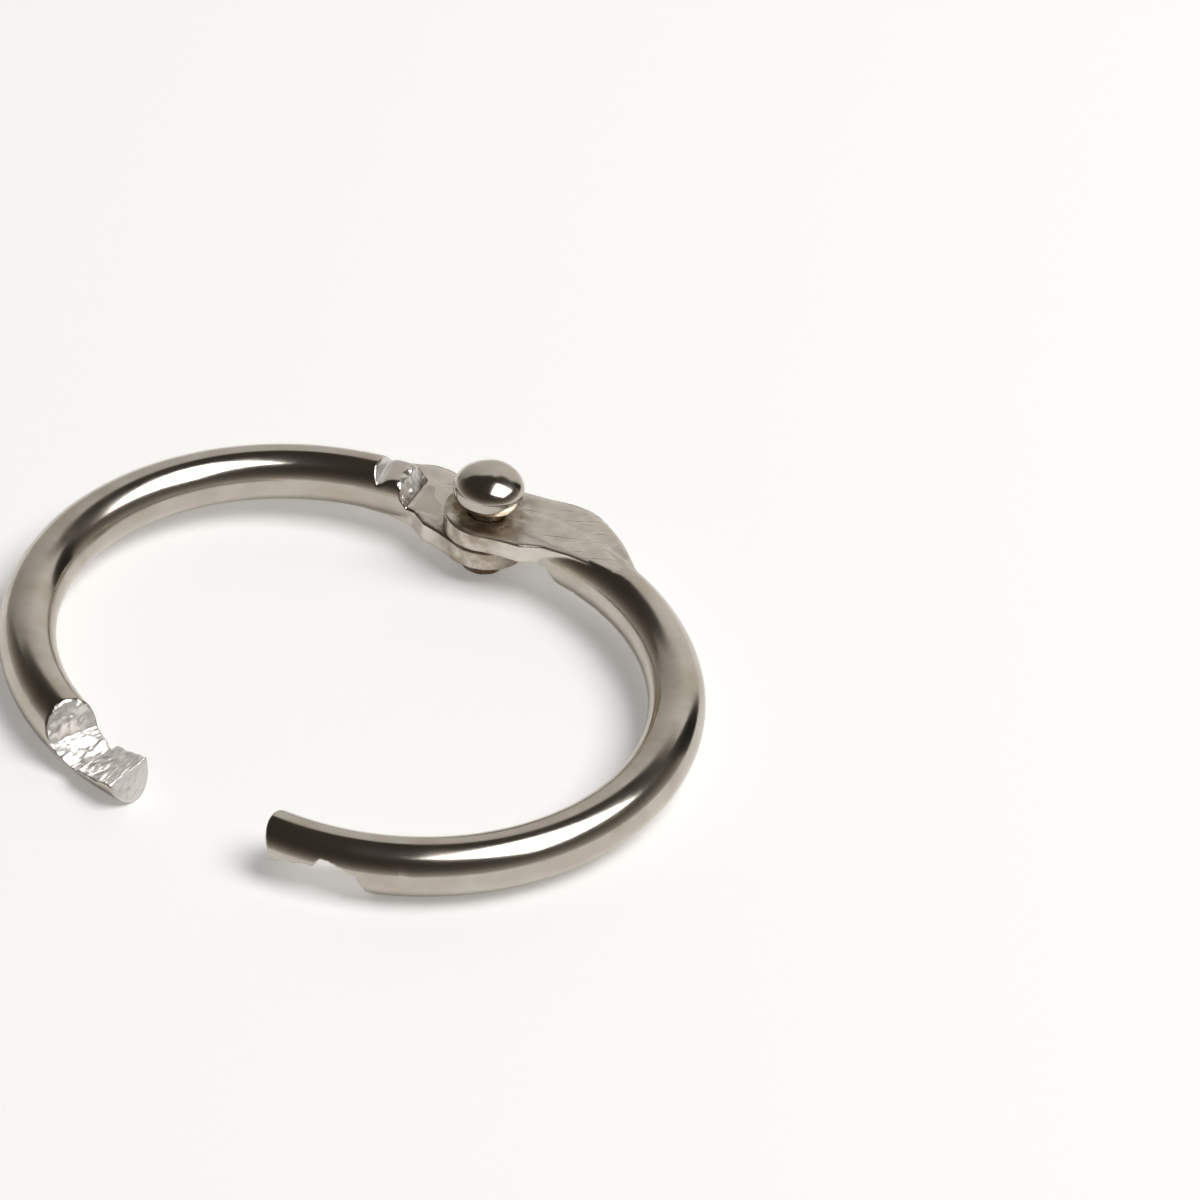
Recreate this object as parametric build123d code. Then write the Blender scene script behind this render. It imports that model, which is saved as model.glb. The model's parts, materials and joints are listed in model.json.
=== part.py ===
from build123d import *
import math
import os

# Loose-leaf binder ring: two half rings of round wire, alike, laid face to face and held by one rivet.
# Millimetres.  Every piece is first drawn in the ring's own frame: the rivet's axis is Z, the lap plane
# between the two pressed tabs is z = 0, and the closed ring's centre lies on -Y.  At the end the ring is
# opened, tipped until it rests on the rivet's tail and on both wires, and stood on z = 0.

# Driving dimensions of the ring.
inner_diameter = 26.0
wire_diameter = 3.1
lap_length = 5.5
rest_opening = 27.0
rest_bearing = -115.0

# The pressed tab at the hinge end of each arm.
tab_width = 4.8
tab_thickness = 1.17
lap_gap = 0.06
shoulder_start = 4.7
shoulder_run = 0.6
facet_depth = 0.4
facet_length = 1.5
facet_run = 0.35
ramp_start = 5.0
ramp_length = 3.6
web_corner_reach = 5.4
web_corner_radius = 0.7
web_join_reach = 9.4
web_inner_reach = 4.2
web_join_share = 0.6
gouge_radius = 0.75
gouge_depth = 0.22

# The snap latch at the free end of each arm.  Runs are measured back along the wire from the tip, and
# heights from the lap plane into the arm's own half.
tip_slant = 0.7
hook_run = 2.85
notch_run = 3.1
notch_length = 0.4
heel_run = 4.9
latch_run = 5.75
tip_height = 0.06
hook_height = 0.39
notch_height = 0.77
heel_height = 0.23

# The rivet.
shank_diameter = 2.2
pin_clearance = 0.05
head_diameter = 4.1
head_lift = 0.65
head_neck_diameter = 2.9
lip_height = 0.95
dome_height = 1.25
tail_diameter = 2.55
tail_length = 1.25
tail_chamfer = 0.12

wire_radius = wire_diameter / 2
ring_radius = (inner_diameter + wire_diameter) / 2
arm_length = math.pi * ring_radius + lap_length / 2
tab_face = lap_gap / 2
tab_back = tab_face + tab_thickness
beyond = 2 * wire_diameter


def on_arc(run, radius=ring_radius):
    """The point at this run along the wire from the rivet, on a circle of this radius."""
    turn = run / ring_radius
    return Vector(radius * math.sin(turn), radius * math.cos(turn) - ring_radius, 0)


def wire_frame(run):
    """A plane with X along the wire, Y across the ring's thickness and Z towards the ring's centre."""
    turn = run / ring_radius
    along = Vector(math.cos(turn), -math.sin(turn), 0)
    inward = Vector(-math.sin(turn), -math.cos(turn), 0)
    return Plane(origin=on_arc(run), x_dir=along, z_dir=inward)


def cut_across(plane, points):
    """A prism through the wire from an outline of (along the wire, up from the lap plane) points."""
    up = 1 if plane.y_dir.Z > 0 else -1
    outline = make_face(Polyline(*[(along, up * height) for along, height in points], close=True))
    return extrude(plane * outline, amount=beyond, both=True)


def wire():
    """The round bar from the middle of the tab to the tip."""
    start = shoulder_start / 2
    frame = wire_frame(start)
    section = Plane(origin=frame.origin, x_dir=(0, 0, 1), z_dir=frame.x_dir) * Circle(wire_radius)
    centre = Axis((0, -ring_radius, 0), (0, 0, -1))
    return revolve(section, centre, revolution_arc=math.degrees((arm_length - start) / ring_radius))


def tab_plate():
    """The flat tab with its full round end, running out into the wire through a flared web."""
    half = tab_width / 2
    outer_join = on_arc(web_join_reach, ring_radius + wire_radius * web_join_share)
    inner_join = on_arc(web_join_reach, ring_radius - wire_radius * web_join_share)
    inner_edge = on_arc(web_inner_reach, ring_radius - wire_radius * 0.95)
    outer_side = Line((0, half), (web_corner_reach, half))
    flare = Line((web_corner_reach, half), outer_join)
    across = Line(outer_join, inner_join)
    inside = Line(inner_join, inner_edge)
    inner_side = Line(inner_edge, (0, -half))
    round_end = ThreePointArc((0, -half), (-half, 0), (0, half))
    outline = make_face(Curve() + [outer_side, flare, across, inside, inner_side, round_end])
    corner = outline.vertices().sort_by_distance((web_corner_reach, half))[0]
    outline = fillet(corner, web_corner_radius)
    return Pos(0, 0, tab_face) * extrude(outline, amount=tab_thickness)


def press_cut():
    """What the press takes off the lap side: the lap face, the shoulder and a facet under the wire."""
    facet_start = shoulder_start + shoulder_run
    facet_end = facet_start + facet_length
    facet = facet_depth - wire_radius
    flat = Plane(origin=(0, 0, 0), x_dir=(1, 0, 0), z_dir=(0, -1, 0))
    profile = [(-tab_width, tab_face), (shoulder_start, tab_face), (facet_start, facet)]
    profile += [(facet_end, facet), (facet_end + facet_run, -beyond), (-tab_width, -beyond)]
    gouge = Cylinder(gouge_radius, 2 * beyond, rotation=(90, 0, 0))
    gouge_middle = facet - gouge_radius + gouge_depth
    return cut_across(flat, profile) + Pos(facet_end, 0, gouge_middle) * gouge


def outer_cut():
    """The flat that thins the wire's outer side down to the tab."""
    flat = Plane(origin=(0, 0, 0), x_dir=(1, 0, 0), z_dir=(0, -1, 0))
    ramp_end = ramp_start + ramp_length
    profile = [(-tab_width, tab_back), (ramp_start, tab_back), (ramp_end, wire_radius)]
    profile += [(ramp_end, beyond), (-tab_width, beyond)]
    return cut_across(flat, profile)


def latch_cut():
    """The hook, notch and heel cut into the lap side of the tip, and the slanted tip face."""
    middle = latch_run / 2
    frame = wire_frame(arm_length - middle)
    steps = [(0, wire_radius + tip_slant), (tip_slant, tip_height), (hook_run, hook_height)]
    steps += [(notch_run, notch_height), (notch_run + notch_length, notch_height)]
    steps += [(heel_run, heel_height), (latch_run, -wire_radius)]
    profile = [(middle - run, height) for run, height in steps]
    profile += [(middle - latch_run, -beyond), (latch_run, -beyond), (latch_run, wire_radius + tip_slant)]
    return cut_across(frame, profile)


def arm(bore):
    """The upper arm of the closed ring; turned over about Y it is the lower arm."""
    solid = (wire() + tab_plate()) - press_cut() - outer_cut() - latch_cut()
    return (solid - Cylinder(bore / 2, 4 * beyond)).clean()


def rivet():
    """Round head standing clear of the tabs, shank through both bores, and a plain flat tail."""
    head_bottom = tab_back + head_lift
    rim = head_bottom + lip_height
    top = rim + dome_height
    tail_end = -tab_back - tail_length
    diameters = (head_neck_diameter, shank_diameter, head_diameter, tail_diameter)
    neck, shank, head, tail = (diameter / 2 for diameter in diameters)
    dome = Spline((head, rim), (0, top), tangents=[(0, 1), (-1, 0)])
    lip = Spline((neck, head_bottom), (head, rim), tangents=[(1, 0), (0, 1)])
    under = Polyline((neck, head_bottom), (shank, head_bottom), (shank, -tab_back), (tail, -tab_back))
    rim_start, rim_end = (tail, tail_end + tail_chamfer), (tail - tail_chamfer, tail_end)
    end = Polyline((tail, -tab_back), rim_start, rim_end, (0, tail_end))
    middle = Line((0, tail_end), (0, top))
    outline = make_face(Curve() + [dome, lip, under, end, middle])
    return revolve(Plane.XZ * outline, Axis.Z)


def rest_tilt(bearings):
    """The direction from the rivet to the far contacts, and the angle that brings them all to the floor."""
    lower, upper = (Rotation(0, 0, bearing + 90) for bearing in bearings)
    tip = (lower * Rotation(0, 180, 0) * Pos(on_arc(arm_length))).position
    heel = (upper * Pos(on_arc(arm_length - latch_run))).position
    across = (heel - tip).normalized()
    outward = Vector(across.Y, -across.X, 0)
    reach = outward.dot(tip) - tail_diameter / 2 + tail_chamfer
    drop = tab_back + tail_length
    return outward, math.atan2(drop, reach) - math.asin(wire_radius / math.hypot(drop, reach))


def rest_pose(pieces, bearings):
    """Tips the open ring onto its tail and wires, and centres it over the origin."""
    outward, tilt = rest_tilt(bearings)
    tip_axis = Axis((0, 0, 0), (-outward.Y, outward.X, 0))
    tipped = {name: piece.rotate(tip_axis, math.degrees(tilt)) for name, piece in pieces.items()}
    box = Compound(list(tipped.values())).bounding_box(optimal=True)
    shift = Vector(-box.center().X, -box.center().Y, -box.min.Z)
    hinge_axis = Vector(0, 0, 1).rotate(tip_axis, math.degrees(tilt))
    print("hinge", [round(v, 4) for v in shift], "axis", [round(v, 6) for v in hinge_axis], "size", box.size)
    return {name: Pos(shift) * piece for name, piece in tipped.items()}


def ring():
    """Every piece of the open ring, by name."""
    lower_bearing = rest_bearing - rest_opening / 2
    upper_bearing = rest_bearing + rest_opening / 2
    lower = Rotation(0, 0, lower_bearing + 90) * Rotation(0, 180, 0) * arm(shank_diameter)
    upper = Rotation(0, 0, upper_bearing + 90) * arm(shank_diameter + 2 * pin_clearance)
    pieces = {"lower_arm": lower, "upper_arm": upper, "rivet": rivet()}
    return rest_pose(pieces, (lower_bearing, upper_bearing))


os.makedirs("parts", exist_ok=True)
for name, piece in ring().items():
    export_step(piece, f"parts/{name}.step")
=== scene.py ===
import json
import math

import bpy
import numpy as np
from mathutils import Matrix, Vector, noise


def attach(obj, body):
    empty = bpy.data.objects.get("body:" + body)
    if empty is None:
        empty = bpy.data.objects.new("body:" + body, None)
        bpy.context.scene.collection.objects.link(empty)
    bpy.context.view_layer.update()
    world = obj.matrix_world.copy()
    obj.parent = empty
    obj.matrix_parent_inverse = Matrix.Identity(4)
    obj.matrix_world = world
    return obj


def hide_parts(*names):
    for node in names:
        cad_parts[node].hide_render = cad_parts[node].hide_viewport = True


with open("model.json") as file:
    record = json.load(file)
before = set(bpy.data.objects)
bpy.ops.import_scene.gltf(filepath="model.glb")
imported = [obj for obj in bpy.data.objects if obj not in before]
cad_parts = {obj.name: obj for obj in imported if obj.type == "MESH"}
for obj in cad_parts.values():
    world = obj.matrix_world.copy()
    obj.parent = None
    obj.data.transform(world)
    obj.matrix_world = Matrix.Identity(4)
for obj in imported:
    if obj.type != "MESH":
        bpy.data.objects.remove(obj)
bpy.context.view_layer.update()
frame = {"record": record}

MM = 0.001

# Sizes of the real ring, in millimetres, as the CAD model has them.
WIRE_RADIUS = 1.55
RING_RADIUS = 14.55
ARM_LENGTH = math.pi * RING_RADIUS + 2.75
TAB_HALF_WIDTH = 2.4
TAB_FACE = 0.03
TAB_BACK = 1.2
PIN_RADIUS = 1.1
PIN_CLEARANCE = 0.05
LOWER_BEARING = -128.5
UPPER_BEARING = -101.5

HINGE = frame["record"]["behaviour"]["joints"][0]
HINGE_POINT = Vector(HINGE["pos_m"])
HINGE_AXIS = Vector(HINGE["axis"]).normalized()


# ---------------------------------------------------------------- placing

def ring_to_world(bearing, turned_over):
    """From an arm's own frame, in millimetres, to the open ring as it lies, in metres."""
    tip = Vector((0, 0, 1)).rotation_difference(HINGE_AXIS).to_matrix().to_4x4()
    turn = Matrix.Rotation(math.radians(bearing + 90), 4, "Z")
    flip = Matrix.Rotation(math.pi, 4, "Y") if turned_over else Matrix.Identity(4)
    return Matrix.Translation(HINGE_POINT) @ tip @ turn @ flip @ Matrix.Scale(MM, 4)


def new_piece(name, points, faces, placing, body, node, material):
    """A smooth mesh piece that stands for a CAD node and moves with its body."""
    mesh = bpy.data.meshes.new(name)
    matrix = np.array(placing)
    world = points @ matrix[:3, :3].T + matrix[:3, 3]
    mesh.from_pydata(world.tolist(), [], faces)
    mesh.shade_smooth()
    mesh.materials.append(material)
    piece = bpy.data.objects.new(name, mesh)
    bpy.context.scene.collection.objects.link(piece)
    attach(piece, body)
    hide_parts(node)
    return piece


def add_mask(mesh, name, values):
    """A value from 0 to 1 at each vertex, read by the material."""
    layer = mesh.attributes.new(name, "FLOAT", "POINT")
    layer.data.foreach_set("value", np.clip(values, 0, 1).astype(np.float32))


# ---------------------------------------------------------------- small maths

def smooth_step(low, high, value):
    t = np.clip((np.asarray(value, float) - low) / (high - low), 0, 1)
    return t * t * (3 - 2 * t)


def nearest_of(power, *reaches):
    """The shortest reach, with the corners between neighbours rounded."""
    total = sum(np.power(np.maximum(reach, 1e-4), -power) for reach in reaches)
    return np.power(total, -1.0 / power)


def lumps(points, size, seed):
    """Even noise from -1 to 1 over an array of points, with lumps of this size in millimetres."""
    offset = Vector((seed * 7.3, seed * 3.1, seed * 5.7))
    return np.array([noise.noise(Vector(point) / size + offset) for point in points])


# ---------------------------------------------------------------- the arms

# Profiles along the wire: (run, height) from the rivet for the pressed end, from the tip for the latch.
PRESS_PROFILE = [(-3, TAB_FACE), (4.7, TAB_FACE), (5.3, -1.15), (6.8, -1.15), (7.15, -1.8), (9, -3)]
LATCH_PROFILE = [(0, 0.0), (0.7, 0.06), (2.85, 0.39), (3.1, 0.77), (3.5, 0.77)]
LATCH_PROFILE += [(4.9, 0.23), (5.75, -1.55), (6.2, -3)]
BACK_PROFILE = [(-3, TAB_BACK), (4.8, TAB_BACK), (6.4, 1.3), (8.8, 1.5), (9.8, 1.7), (11, 2.6)]
PRESSED_RUN = 9
LATCH_RUN = 6.6
FIRST_SCAR = 6.8
SECOND_SCAR = 5.15
TIP_SLANT = 0.7
TIP_SLANT_RUN = 1.6
WEB_CORNER = 5.4
WEB_END = 9.4
AROUND = 200


def profile_at(profile, where):
    return float(np.interp(where, [p[0] for p in profile], [p[1] for p in profile]))


def arm_stations():
    """Runs along the wire: close together where the metal was pressed or cut, further apart on the bar."""
    end = -TAB_HALF_WIDTH * np.cos(np.linspace(0.02, math.pi / 2, 40))
    tab = np.arange(0.07, 4.5, 0.09)
    shoulder = np.arange(4.5, 10.4, 0.06)
    bar = np.arange(10.4, ARM_LENGTH - 7.0, 0.42)
    latch = np.linspace(ARM_LENGTH - 6.9, ARM_LENGTH, 128)
    return np.concatenate([end, tab, shoulder, bar, latch])


def tab_sides(run):
    """How far the flat tab reaches outwards and inwards from the wire's centreline."""
    if run < 0:
        half = math.sqrt(max(TAB_HALF_WIDTH ** 2 - run ** 2, 1e-6))
        return half, half
    turn = run / RING_RADIUS
    edge = (TAB_HALF_WIDTH + RING_RADIUS) / math.cos(turn) - RING_RADIUS
    corner_turn = math.atan2(WEB_CORNER, TAB_HALF_WIDTH + RING_RADIUS)
    corner_run = corner_turn * RING_RADIUS
    corner = math.hypot(WEB_CORNER, TAB_HALF_WIDTH + RING_RADIUS) - RING_RADIUS
    flare = corner + (0.93 - corner) * (run - corner_run) / (WEB_END - corner_run)
    outward = float(nearest_of(14, np.array([edge]), np.array([max(flare, 0.05)]))[0])
    inward = float(np.interp(run, [0, 3.0, 4.2, 6.0, WEB_END], [TAB_HALF_WIDTH, 2.15, 1.5, 1.1, 0.6]))
    return outward, inward


def middle_height(run):
    """A height that lies inside the metal, from which the section's outline is measured."""
    from_tip = ARM_LENGTH - run
    tab = 0.62 * (1 - smooth_step(6.2, 10.5, run))
    latch = 1.22 * (1 - smooth_step(5.0, 8.0, from_tip))
    return float(tab + latch)


def lap_height(run, across, seed):
    """The lap side of the arm, with the scars that the press and the shear leave in it."""
    from_tip = ARM_LENGTH - run
    height = np.full_like(across, -9.0)
    scar = np.zeros_like(across)
    if run < PRESSED_RUN:
        height = np.full_like(across, profile_at(PRESS_PROFILE, run))
        here = [(run, a, 0.0) for a in across]
        first = 0.40 * math.exp(-((run - FIRST_SCAR) / 0.42) ** 2)
        second = 0.34 * math.exp(-((run - SECOND_SCAR) / 0.27) ** 2)
        scar = first * (0.8 + 0.5 * lumps(here, 0.9, seed))
        scar = scar + second * (0.75 + 0.9 * lumps(here, 0.4, seed + 1))
        scar = scar + 0.006 * lumps(here, 1.3, seed + 2)
    if from_tip < LATCH_RUN:
        height = np.full_like(across, profile_at(LATCH_PROFILE, from_tip))
        here = [(from_tip * 1.6, a * 0.8, 0.0) for a in across]
        coarse = lumps(here, 0.9, seed + 3)
        ridges = lumps([(h[0] * 1.5, h[1] * 1.1, 0.0) for h in here], 0.45, seed + 4)
        on_wall = float(smooth_step(4.6, 5.1, from_tip))
        scar = (0.09 + 0.16 * on_wall) * coarse + (0.05 + 0.12 * on_wall) * ridges
    return height + scar


def arm_section(run, seed):
    """The section's outline as (across, height), and how far each point was pressed or cut."""
    angle = np.linspace(0, 2 * math.pi, AROUND, endpoint=False)
    side, rise = np.cos(angle), np.sin(angle)
    middle = middle_height(run)
    round_reach = -middle * rise + np.sqrt(np.maximum(WIRE_RADIUS ** 2 - (middle * side) ** 2, 1e-6))
    back = profile_at(BACK_PROFILE, run)
    up = np.maximum(rise, 1e-3)
    down = np.maximum(-rise, 1e-3)
    high_reach = np.where(rise > 0, (back - middle) / up, 50.0)
    low_reach = np.full(AROUND, 50.0)
    guess = np.minimum(round_reach, 3.0)
    if run < PRESSED_RUN or ARM_LENGTH - run < LATCH_RUN:
        for _ in range(3):
            lap = lap_height(run, guess * side, seed)
            low_reach = np.where(rise < 0, np.maximum(middle - lap, 0.02) / down, 50.0)
            guess = np.minimum(low_reach, round_reach)
    reach = nearest_of(26, round_reach, high_reach, low_reach)
    cut = smooth_step(-0.02, 0.05, round_reach - low_reach)
    if run < PRESSED_RUN:
        first = math.exp(-((run - FIRST_SCAR) / 0.55) ** 2)
        second = math.exp(-((run - SECOND_SCAR) / 0.36) ** 2)
        cut = cut * min(1.0, first + second)
    pressed = smooth_step(-0.02, 0.08, round_reach - high_reach)
    if run < WEB_END:
        outward, inward = tab_sides(run)
        lateral = np.where(side > 0, outward / np.maximum(side, 1e-3), inward / np.maximum(-side, 1e-3))
        face = np.where(rise < 0, (middle - TAB_FACE) / down, 50.0)
        top = min(back, float(np.interp(run, [5.0, 7.2, WEB_END], [TAB_BACK, 1.34, 1.2])))
        plate = nearest_of(22, lateral, face, np.where(rise > 0, (top - middle) / up, 50.0))
        bar = reach if run > 2.4 else np.zeros(AROUND)
        on_plate = plate > bar
        reach = np.power(np.power(plate, 30.0) + np.power(bar, 30.0), 1 / 30.0)
        pressed = np.where(on_plate, 1.0, pressed)
        cut = np.where(on_plate, 0.0, cut)
    return reach * side, middle + reach * rise, cut, pressed


def arm_points(seed):
    """Every vertex of an arm in its own frame, with its masks."""
    rings, cuts, presses = [], [], []
    for run in arm_stations():
        across, height, cut, pressed = arm_section(run, seed)
        from_tip = ARM_LENGTH - run
        lean = TIP_SLANT * np.clip((WIRE_RADIUS - height) / WIRE_RADIUS, 0, 1.1)
        along = run - lean * max(0.0, 1 - from_tip / TIP_SLANT_RUN) ** 1.3
        if from_tip < 0.09:
            across = across * (0.955 + 0.5 * from_tip)
        turn = np.maximum(along, 0) / RING_RADIUS
        radius = RING_RADIUS + across
        x = radius * np.sin(turn) + np.minimum(along, 0)
        y = radius * np.cos(turn) - RING_RADIUS
        rings.append(np.stack([x, y, height], axis=1))
        cuts.append(cut)
        presses.append(pressed)
    return rings, cuts, presses


def tube_faces(count, first_cap, last_cap):
    """Quads between neighbouring rings of points, and a fan over each end."""
    faces = []
    for ring in range(count - 1):
        start = ring * AROUND
        for i in range(AROUND):
            j = (i + 1) % AROUND
            faces.append((start + i, start + j, start + AROUND + j, start + AROUND + i))
    last = (count - 1) * AROUND
    for i in range(AROUND):
        j = (i + 1) % AROUND
        faces.append((j, i, first_cap))
        faces.append((last + i, last + j, last_cap))
    return faces


def end_rings(outer, seed):
    """Rings that close the sheared tip face, a little rough, and the point in its middle."""
    centre = outer.mean(axis=0)
    rings = []
    for share in (0.93, 0.8, 0.62, 0.42, 0.2):
        ring = centre + (outer - centre) * share
        rough = lumps(ring.tolist(), 0.35, seed) * 0.035
        rings.append(ring + np.array([0.0, 0.0, 1.0]) * rough[:, None] * 0.3)
    return rings, centre


def bore(piece, radius, placing):
    """Drills the rivet's hole through the tab."""
    bpy.ops.mesh.primitive_cylinder_add(vertices=96, radius=radius, depth=12)
    drill = bpy.context.object
    drill.data.transform(placing)
    cutter = piece.modifiers.new("bore", "BOOLEAN")
    cutter.object = drill
    cutter.operation = "DIFFERENCE"
    cutter.solver = "EXACT"
    graph = bpy.context.evaluated_depsgraph_get()
    drilled = bpy.data.meshes.new_from_object(piece.evaluated_get(graph))
    piece.modifiers.clear()
    old = piece.data
    piece.data = drilled
    bpy.data.meshes.remove(old)
    bpy.data.objects.remove(drill)


def make_arm(name, body, bearing, turned_over, hole_radius, seed, material):
    """One half ring: round bar, pressed and drilled tab, and the hooked snap end."""
    rings, cuts, presses = arm_points(seed)
    tip_rings, tip_centre = end_rings(rings[-1], seed + 9)
    rings += tip_rings
    cuts += [np.ones(AROUND)] * len(tip_rings)
    presses += [np.zeros(AROUND)] * len(tip_rings)
    points = np.concatenate(rings + [rings[0].mean(axis=0)[None], tip_centre[None]])
    count = len(rings)
    faces = tube_faces(count, count * AROUND, count * AROUND + 1)
    placing = ring_to_world(bearing, turned_over)
    piece = new_piece(name + "_plated", points, faces, placing, body, name, material)
    mesh = piece.data
    add_mask(mesh, "cut", np.concatenate(cuts + [np.array([0.0, 1.0])]))
    add_mask(mesh, "pressed", np.concatenate(presses + [np.array([1.0, 0.0])]))
    # Brown near the rivet: full within 1.8 mm of the pin and gone by 3.3 mm.
    from_pin = np.hypot(points[:, 0], points[:, 1])
    add_mask(mesh, "brown_by_head", 1 - smooth_step(1.8, 3.3, from_pin))
    bore(piece, hole_radius, placing)
    return piece


# ---------------------------------------------------------------- the rivet

HEAD_RADIUS = 2.05
HEAD_BOTTOM = TAB_BACK + 0.65
HEAD_RIM = HEAD_BOTTOM + 0.95
HEAD_TOP = HEAD_RIM + 1.25
TAIL_RADIUS = 1.275
TAIL_END = -TAB_BACK - 1.25


def rivet_outline():
    """Radius and height from the crown of the head down to the middle of the tail."""
    outline = []
    for step in range(26):
        t = math.pi / 2 * step / 25
        rise = (HEAD_TOP - HEAD_RIM) * math.cos(t) ** 0.92
        outline.append((HEAD_RADIUS * math.sin(t) ** 0.96, HEAD_RIM + rise))
    for step in range(1, 11):
        t = math.pi / 2 * step / 10
        outline.append((1.45 + 0.6 * math.cos(t), HEAD_RIM - (HEAD_RIM - HEAD_BOTTOM) * math.sin(t)))
    outline += [(1.25, HEAD_BOTTOM), (PIN_RADIUS, HEAD_BOTTOM - 0.05), (PIN_RADIUS, 1.6)]
    outline += [(PIN_RADIUS, TAB_BACK), (PIN_RADIUS, 0.4), (PIN_RADIUS, -TAB_BACK + 0.01)]
    outline += [(TAIL_RADIUS - 0.03, -TAB_BACK)]
    outline += [(TAIL_RADIUS, -TAB_BACK - 0.05), (TAIL_RADIUS, -1.8), (TAIL_RADIUS, TAIL_END + 0.16)]
    outline += [(TAIL_RADIUS - 0.04, TAIL_END + 0.05), (TAIL_RADIUS - 0.13, TAIL_END)]
    outline += [(0.9, TAIL_END), (0.5, TAIL_END)]
    return outline


def make_rivet(material):
    """The rivet, turned from its outline and left slightly uneven by the setting blow."""
    outline = rivet_outline()[1:]
    around = 128
    points = []
    for radius, height in outline:
        for i in range(around):
            a = 2 * math.pi * i / around
            points.append((radius * math.cos(a), radius * math.sin(a), height))
    points = np.array(points + [(0, 0, HEAD_TOP), (0, 0, TAIL_END)], float)
    on_head = points[:, 2] > HEAD_BOTTOM + 0.02
    dents = lumps(points.tolist(), 1.5, 31) * 0.05 - 0.05
    fine = lumps(points.tolist(), 0.6, 33) * 0.012 - 0.012
    middle = np.array([0, 0, HEAD_BOTTOM])
    inward = (middle - points) / np.maximum(np.linalg.norm(middle - points, axis=1), 0.2)[:, None]
    points = points - inward * ((dents + fine) * on_head)[:, None]
    faces = []
    for ring in range(len(outline) - 1):
        for i in range(around):
            j = (i + 1) % around
            a = ring * around
            faces.append((a + j, a + i, a + around + i, a + around + j))
    last = (len(outline) - 1) * around
    crown, foot = len(points) - 2, len(points) - 1
    faces += [(i, (i + 1) % around, crown) for i in range(around)]
    faces += [(last + (i + 1) % around, last + i, foot) for i in range(around)]
    placing = ring_to_world(-90.0, False)
    piece = new_piece("rivet_plated", points, faces, placing, "lower_half", "rivet", material)
    # Brown on the rivet below the underside of its head.
    brown_by_head = 1 - smooth_step(HEAD_BOTTOM - 0.25, HEAD_BOTTOM + 0.35, points[:, 2])
    add_mask(piece.data, "brown_by_head", brown_by_head)
    return piece


# ---------------------------------------------------------------- materials

def colour(hex_text):
    """An sRGB hex colour as linear RGBA."""
    parts = [int(hex_text[i:i + 2], 16) / 255 for i in (1, 3, 5)]
    linear = [p / 12.92 if p <= 0.04045 else ((p + 0.055) / 1.055) ** 2.4 for p in parts]
    return (*linear, 1.0)


NOISE = "ShaderNodeTexNoise"
RANGE = "ShaderNodeMapRange"
MATH = "ShaderNodeMath"
MIX = "ShaderNodeMix"
COLOUR = {"data_type": "RGBA"}
TIMES = {"operation": "MULTIPLY"}
TIMES_PLUS = {"operation": "MULTIPLY_ADD"}


def add_node(tree, kind, settings=None, **links):
    """Adds a node with its settings; each link gives an input, by name or i and number, its value."""
    node = tree.nodes.new(kind)
    for key, value in (settings or {}).items():
        setattr(node, key, value)
    for key, value in links.items():
        numbered = key[0] == "i" and key[1:].isdigit()
        socket = node.inputs[int(key[1:])] if numbered else node.inputs[key]
        if isinstance(value, bpy.types.NodeSocket):
            tree.links.new(value, socket)
        else:
            socket.default_value = value
    return node


def per_mm(size_mm):
    """The pattern scale that makes lumps this many millimetres across."""
    return 1.0 / (size_mm * MM)


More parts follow.
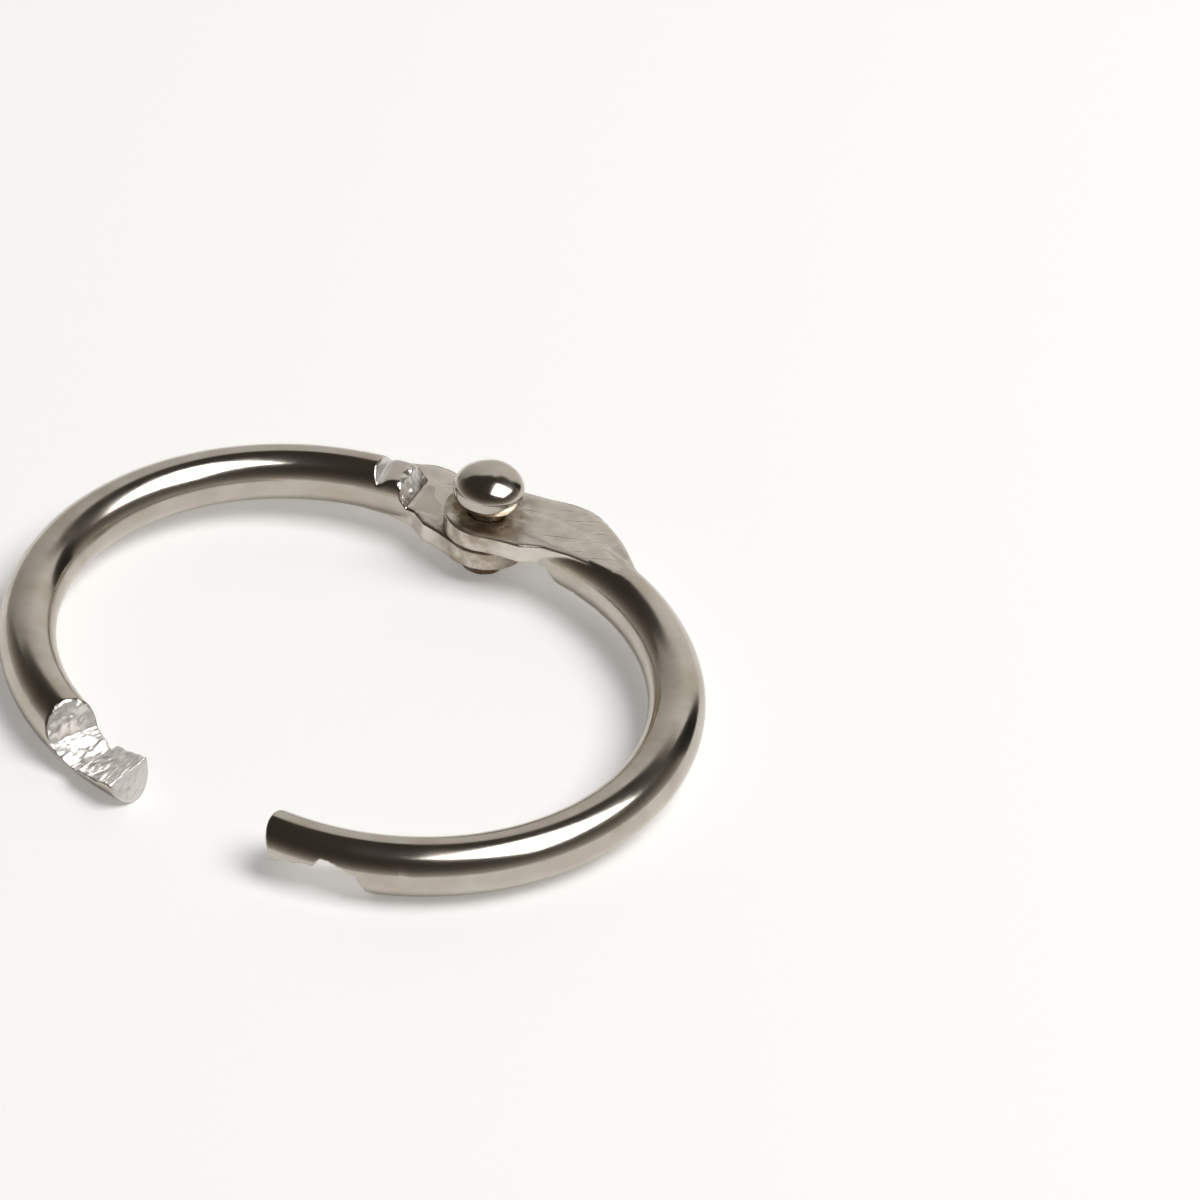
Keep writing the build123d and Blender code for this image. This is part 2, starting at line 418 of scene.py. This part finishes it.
def nickel_plate(name, with_cuts):
    """Dull nickel on steel: a warm grey mirror hazed by wear, matt where pressed, bright where sheared."""
    material = bpy.data.materials.new(name)
    material.use_nodes = True
    tree = material.node_tree
    shader = tree.nodes["Principled BSDF"]
    shader.inputs["Metallic"].default_value = 1.0
    place = add_node(tree, "ShaderNodeTexCoord").outputs["Object"]

    # Years of handling: broad hazy patches, a shade browner and duller, and a fine pitted skin.
    haze = add_node(tree, NOISE, None, Vector=place, Scale=per_mm(2.2), Detail=4.0).outputs[0]
    speck = add_node(tree, NOISE, None, Vector=place, Scale=per_mm(0.16), Detail=2.0).outputs[0]
    worn = add_node(tree, RANGE, None, i0=haze, i1=0.35, i2=0.7).outputs[0]
    clean_tone, worn_tone = colour("#C9C3B9"), colour("#BBB2A5")
    tone = add_node(tree, MIX, COLOUR, i0=worn, i6=clean_tone, i7=worn_tone).outputs[2]
    rough = add_node(tree, RANGE, None, i0=haze, i1=0.3, i2=0.75, i3=0.12, i4=0.20).outputs[0]
    height = add_node(tree, MATH, TIMES, i0=speck, i1=0.35).outputs[0]

    if with_cuts:
        cut = add_node(tree, "ShaderNodeAttribute", {"attribute_name": "cut"}).outputs["Fac"]
        pressed = add_node(tree, "ShaderNodeAttribute", {"attribute_name": "pressed"}).outputs["Fac"]

        # The pressed flats: even matt grey that the die left, with a mottle and a few fine scratches.
        mottle = add_node(tree, NOISE, None, Vector=place, Scale=per_mm(0.9), Detail=5.0).outputs[0]
        blotch = add_node(tree, RANGE, None, i0=mottle, i1=0.35, i2=0.7).outputs[0]
        flat_tones = {"i6": colour("#E6E0D7"), "i7": colour("#D6CEC3")}
        flat_tone = add_node(tree, MIX, COLOUR, i0=blotch, **flat_tones).outputs[2]
        tone = add_node(tree, MIX, COLOUR, i0=pressed, i6=tone, i7=flat_tone).outputs[2]
        rough = add_node(tree, MIX, None, i0=pressed, i2=rough, i3=0.27).outputs[0]
        along = {"i2": (0, 0, 0.5), "i3": (0.09, 1, 1)}
        lined = add_node(tree, "ShaderNodeMapping", None, Vector=place, **along).outputs[0]
        line = add_node(tree, NOISE, None, Vector=lined, Scale=per_mm(0.2), Detail=2.0).outputs[0]
        scratch = add_node(tree, RANGE, None, i0=line, i1=0.62, i2=0.72).outputs[0]
        dent = add_node(tree, MATH, TIMES_PLUS, i0=scratch, i1=-2.2, i2=mottle).outputs[0]
        dent = add_node(tree, MATH, TIMES, i0=dent, i1=pressed).outputs[0]
        height = add_node(tree, MATH, TIMES_PLUS, i0=dent, i1=2.0, i2=height).outputs[0]

        # The sheared faces: bare bright metal with a torn grain.
        tone = add_node(tree, MIX, COLOUR, i0=cut, i6=tone, i7=colour("#F1EEEA")).outputs[2]
        rough = add_node(tree, MIX, None, i0=cut, i2=rough, i3=0.38).outputs[0]
        grain = add_node(tree, NOISE, None, Vector=place, Scale=per_mm(0.3), Detail=4.0).outputs[0]
        torn = add_node(tree, MATH, TIMES, i0=grain, i1=cut).outputs[0]
        height = add_node(tree, MATH, TIMES_PLUS, i0=torn, i1=13.0, i2=height).outputs[0]

    # Patchy brown under and around the rivet's head, strongest close to it.
    near = add_node(tree, "ShaderNodeAttribute", {"attribute_name": "brown_by_head"}).outputs["Fac"]
    patch = add_node(tree, NOISE, None, Vector=place, Scale=per_mm(1.1), Detail=4.0).outputs[0]
    patchy = add_node(tree, RANGE, None, i0=patch, i1=0.34, i2=0.56).outputs[0]
    brown_patches = add_node(tree, MATH, TIMES, i0=near, i1=patchy).outputs[0]
    share = add_node(tree, MATH, TIMES, i0=brown_patches, i1=0.85).outputs[0]
    brown = colour("#7A5C30")
    tone = add_node(tree, MIX, COLOUR, i0=share, i6=tone, i7=brown).outputs[2]
    rough = add_node(tree, MIX, None, i0=share, i2=rough, i3=0.5).outputs[0]
    relief = {"Strength": 0.35, "Distance": 0.006 * MM}
    bump = add_node(tree, "ShaderNodeBump", None, Height=height, **relief).outputs[0]
    tree.links.new(tone, shader.inputs["Base Color"])
    tree.links.new(rough, shader.inputs["Roughness"])
    tree.links.new(bump, shader.inputs["Normal"])
    return material


# ---------------------------------------------------------------- floor, light and camera

def white_floor():
    """A wide white table with the ring's own soft shadow, lifted by a faint glow so that it stays pale."""
    mesh = bpy.data.meshes.new("table")
    half = 1.5
    corners = [(-half, -half, 0), (half, -half, 0), (half, half, 0), (-half, half, 0)]
    mesh.from_pydata(corners, [], [(0, 1, 2, 3)])
    floor = bpy.data.objects.new("table", mesh)
    bpy.context.scene.collection.objects.link(floor)
    floor.location.z = -0.00002
    material = bpy.data.materials.new("white_table")
    material.use_nodes = True
    tree = material.node_tree
    shader = tree.nodes["Principled BSDF"]
    shader.inputs["Base Color"].default_value = colour("#F4F3F1")
    shader.inputs["Roughness"].default_value = 0.9
    shader.inputs["Specular IOR Level"].default_value = 0.0
    path = add_node(tree, "ShaderNodeLightPath")
    direct, mirrored = path.outputs["Is Camera Ray"], path.outputs["Is Glossy Ray"]
    own = add_node(tree, MATH, TIMES, i0=mirrored, i1=0.14).outputs[0]
    glow = add_node(tree, MATH, TIMES_PLUS, i0=direct, i1=0.23, i2=own).outputs[0]
    tree.links.new(glow, shader.inputs["Emission Strength"])
    shader.inputs["Emission Color"].default_value = (1, 1, 1, 1)
    mesh.materials.append(material)
    return floor


def studio_surround():
    """A dim room: a pale glow along the horizon that fades to a dark ceiling.  The camera sees white."""
    world = bpy.data.worlds.new("studio")
    bpy.context.scene.world = world
    world.use_nodes = True
    tree = world.node_tree
    direction = add_node(tree, "ShaderNodeTexCoord").outputs["Generated"]
    height = add_node(tree, "ShaderNodeSeparateXYZ", None, Vector=direction).outputs[2]
    ramp = add_node(tree, "ShaderNodeValToRGB", None, Fac=height)
    ramp.color_ramp.elements[0].position = 0.0
    ramp.color_ramp.elements[0].color = colour("#C9C5BE")
    ramp.color_ramp.elements[1].position = 1.0
    ramp.color_ramp.elements[1].color = colour("#3B3732")
    fading = {0.10: "#A6A199", 0.26: "#7F7A73", 0.42: "#5E5953", 0.58: "#4A4540", 0.72: "#3E3A35"}
    for position, tone in fading.items():
        ramp.color_ramp.elements.new(position).color = colour(tone)
    path = add_node(tree, "ShaderNodeLightPath")
    direct = path.outputs["Is Camera Ray"]
    white = (1, 1, 1, 1)
    shown = add_node(tree, MIX, COLOUR, i0=direct, i6=ramp.outputs[0], i7=white)
    background = tree.nodes["Background"]
    tree.links.new(shown.outputs[2], background.inputs["Color"])
    background.inputs["Strength"].default_value = 1.0


def upright_card(name, left, right, height, away, glow_left, glow_right):
    """A card that stands behind the ring and shows in its metal, paler towards one side."""
    mesh = bpy.data.meshes.new(name)
    corners = [(left, away, 0), (right, away, 0), (right, away, height), (left, away, height)]
    mesh.from_pydata(corners, [], [(0, 1, 2, 3)])
    card = bpy.data.objects.new(name, mesh)
    bpy.context.scene.collection.objects.link(card)
    material = bpy.data.materials.new(name)
    material.use_nodes = True
    tree = material.node_tree
    place = add_node(tree, "ShaderNodeTexCoord").outputs["Object"]
    across = add_node(tree, "ShaderNodeSeparateXYZ", None, Vector=place).outputs[0]
    brightest = right * 0.4
    fade = {"i1": left, "i2": brightest, "i3": glow_left, "i4": glow_right}
    level = add_node(tree, RANGE, None, i0=across, **fade).outputs[0]
    shader = tree.nodes["Principled BSDF"]
    shader.inputs["Base Color"].default_value = (0, 0, 0, 1)
    shader.inputs["Specular IOR Level"].default_value = 0.0
    shader.inputs["Emission Color"].default_value = colour("#FBF8F2")
    tree.links.new(level, shader.inputs["Emission Strength"])
    mesh.materials.append(material)
    return card


def softbox(name, size, power, azimuth, elevation, distance):
    """A soft lamp that looks at the ring from this side and height."""
    light = bpy.data.lights.new(name, "AREA")
    light.shape = "RECTANGLE"
    light.size, light.size_y = size
    light.energy = power
    lamp = bpy.data.objects.new(name, light)
    a, e = math.radians(azimuth), math.radians(elevation)
    lamp.location = Vector((math.sin(a) * math.cos(e), math.cos(a) * math.cos(e), math.sin(e))) * distance
    lamp.rotation_euler = lamp.location.to_track_quat("Z", "Y").to_euler()
    bpy.context.scene.collection.objects.link(lamp)
    return lamp


CAMERA_ELEVATION = math.radians(37.0)
CAMERA_ROLL = math.radians(7.2)
CAMERA_DISTANCE = 0.2782
AIM_FROM_HINGE = Vector((6.83, -2.25, -2.35)) * MM


def make_camera():
    """A long lens well above the table, aimed to the right of the ring so that it lies at the left."""
    aim = HINGE_POINT + AIM_FROM_HINGE
    back = Vector((0, -math.cos(CAMERA_ELEVATION), math.sin(CAMERA_ELEVATION)))
    level = Vector((1, 0, 0))
    upright = back.cross(level)
    right = level * math.cos(CAMERA_ROLL) + upright * math.sin(CAMERA_ROLL)
    up = upright * math.cos(CAMERA_ROLL) - level * math.sin(CAMERA_ROLL)
    data = bpy.data.cameras.new("camera")
    data.lens = 150
    data.sensor_width = 36
    data.clip_start = 0.005
    camera = bpy.data.objects.new("camera", data)
    turn = Matrix((right, up, back)).transposed().to_4x4()
    camera.matrix_world = Matrix.Translation(aim + back * CAMERA_DISTANCE) @ turn
    bpy.context.scene.collection.objects.link(camera)
    bpy.context.scene.camera = camera


# ---------------------------------------------------------------- the scene

wire_plate = nickel_plate("nickel_plated_steel_wire", True)
rivet_plate = nickel_plate("nickel_plated_rivet", False)
make_arm("lower_arm", "lower_half", LOWER_BEARING, True, PIN_RADIUS, 3, wire_plate)
make_arm("upper_arm", "upper_half", UPPER_BEARING, False, PIN_RADIUS + PIN_CLEARANCE, 17, wire_plate)
make_rivet(rivet_plate)

white_floor()
studio_surround()
upright_card("pale_backdrop", -0.72, 0.50, 0.63, 0.60, 0.30, 0.80)
upright_card("dark_flag", 0.50, 1.0, 0.63, 0.60, 0.02, 0.02)
softbox("key", (0.56, 0.54), 5.5, 97, 61, 0.8)
make_camera()
bpy.context.scene.view_settings.view_transform = "Standard"
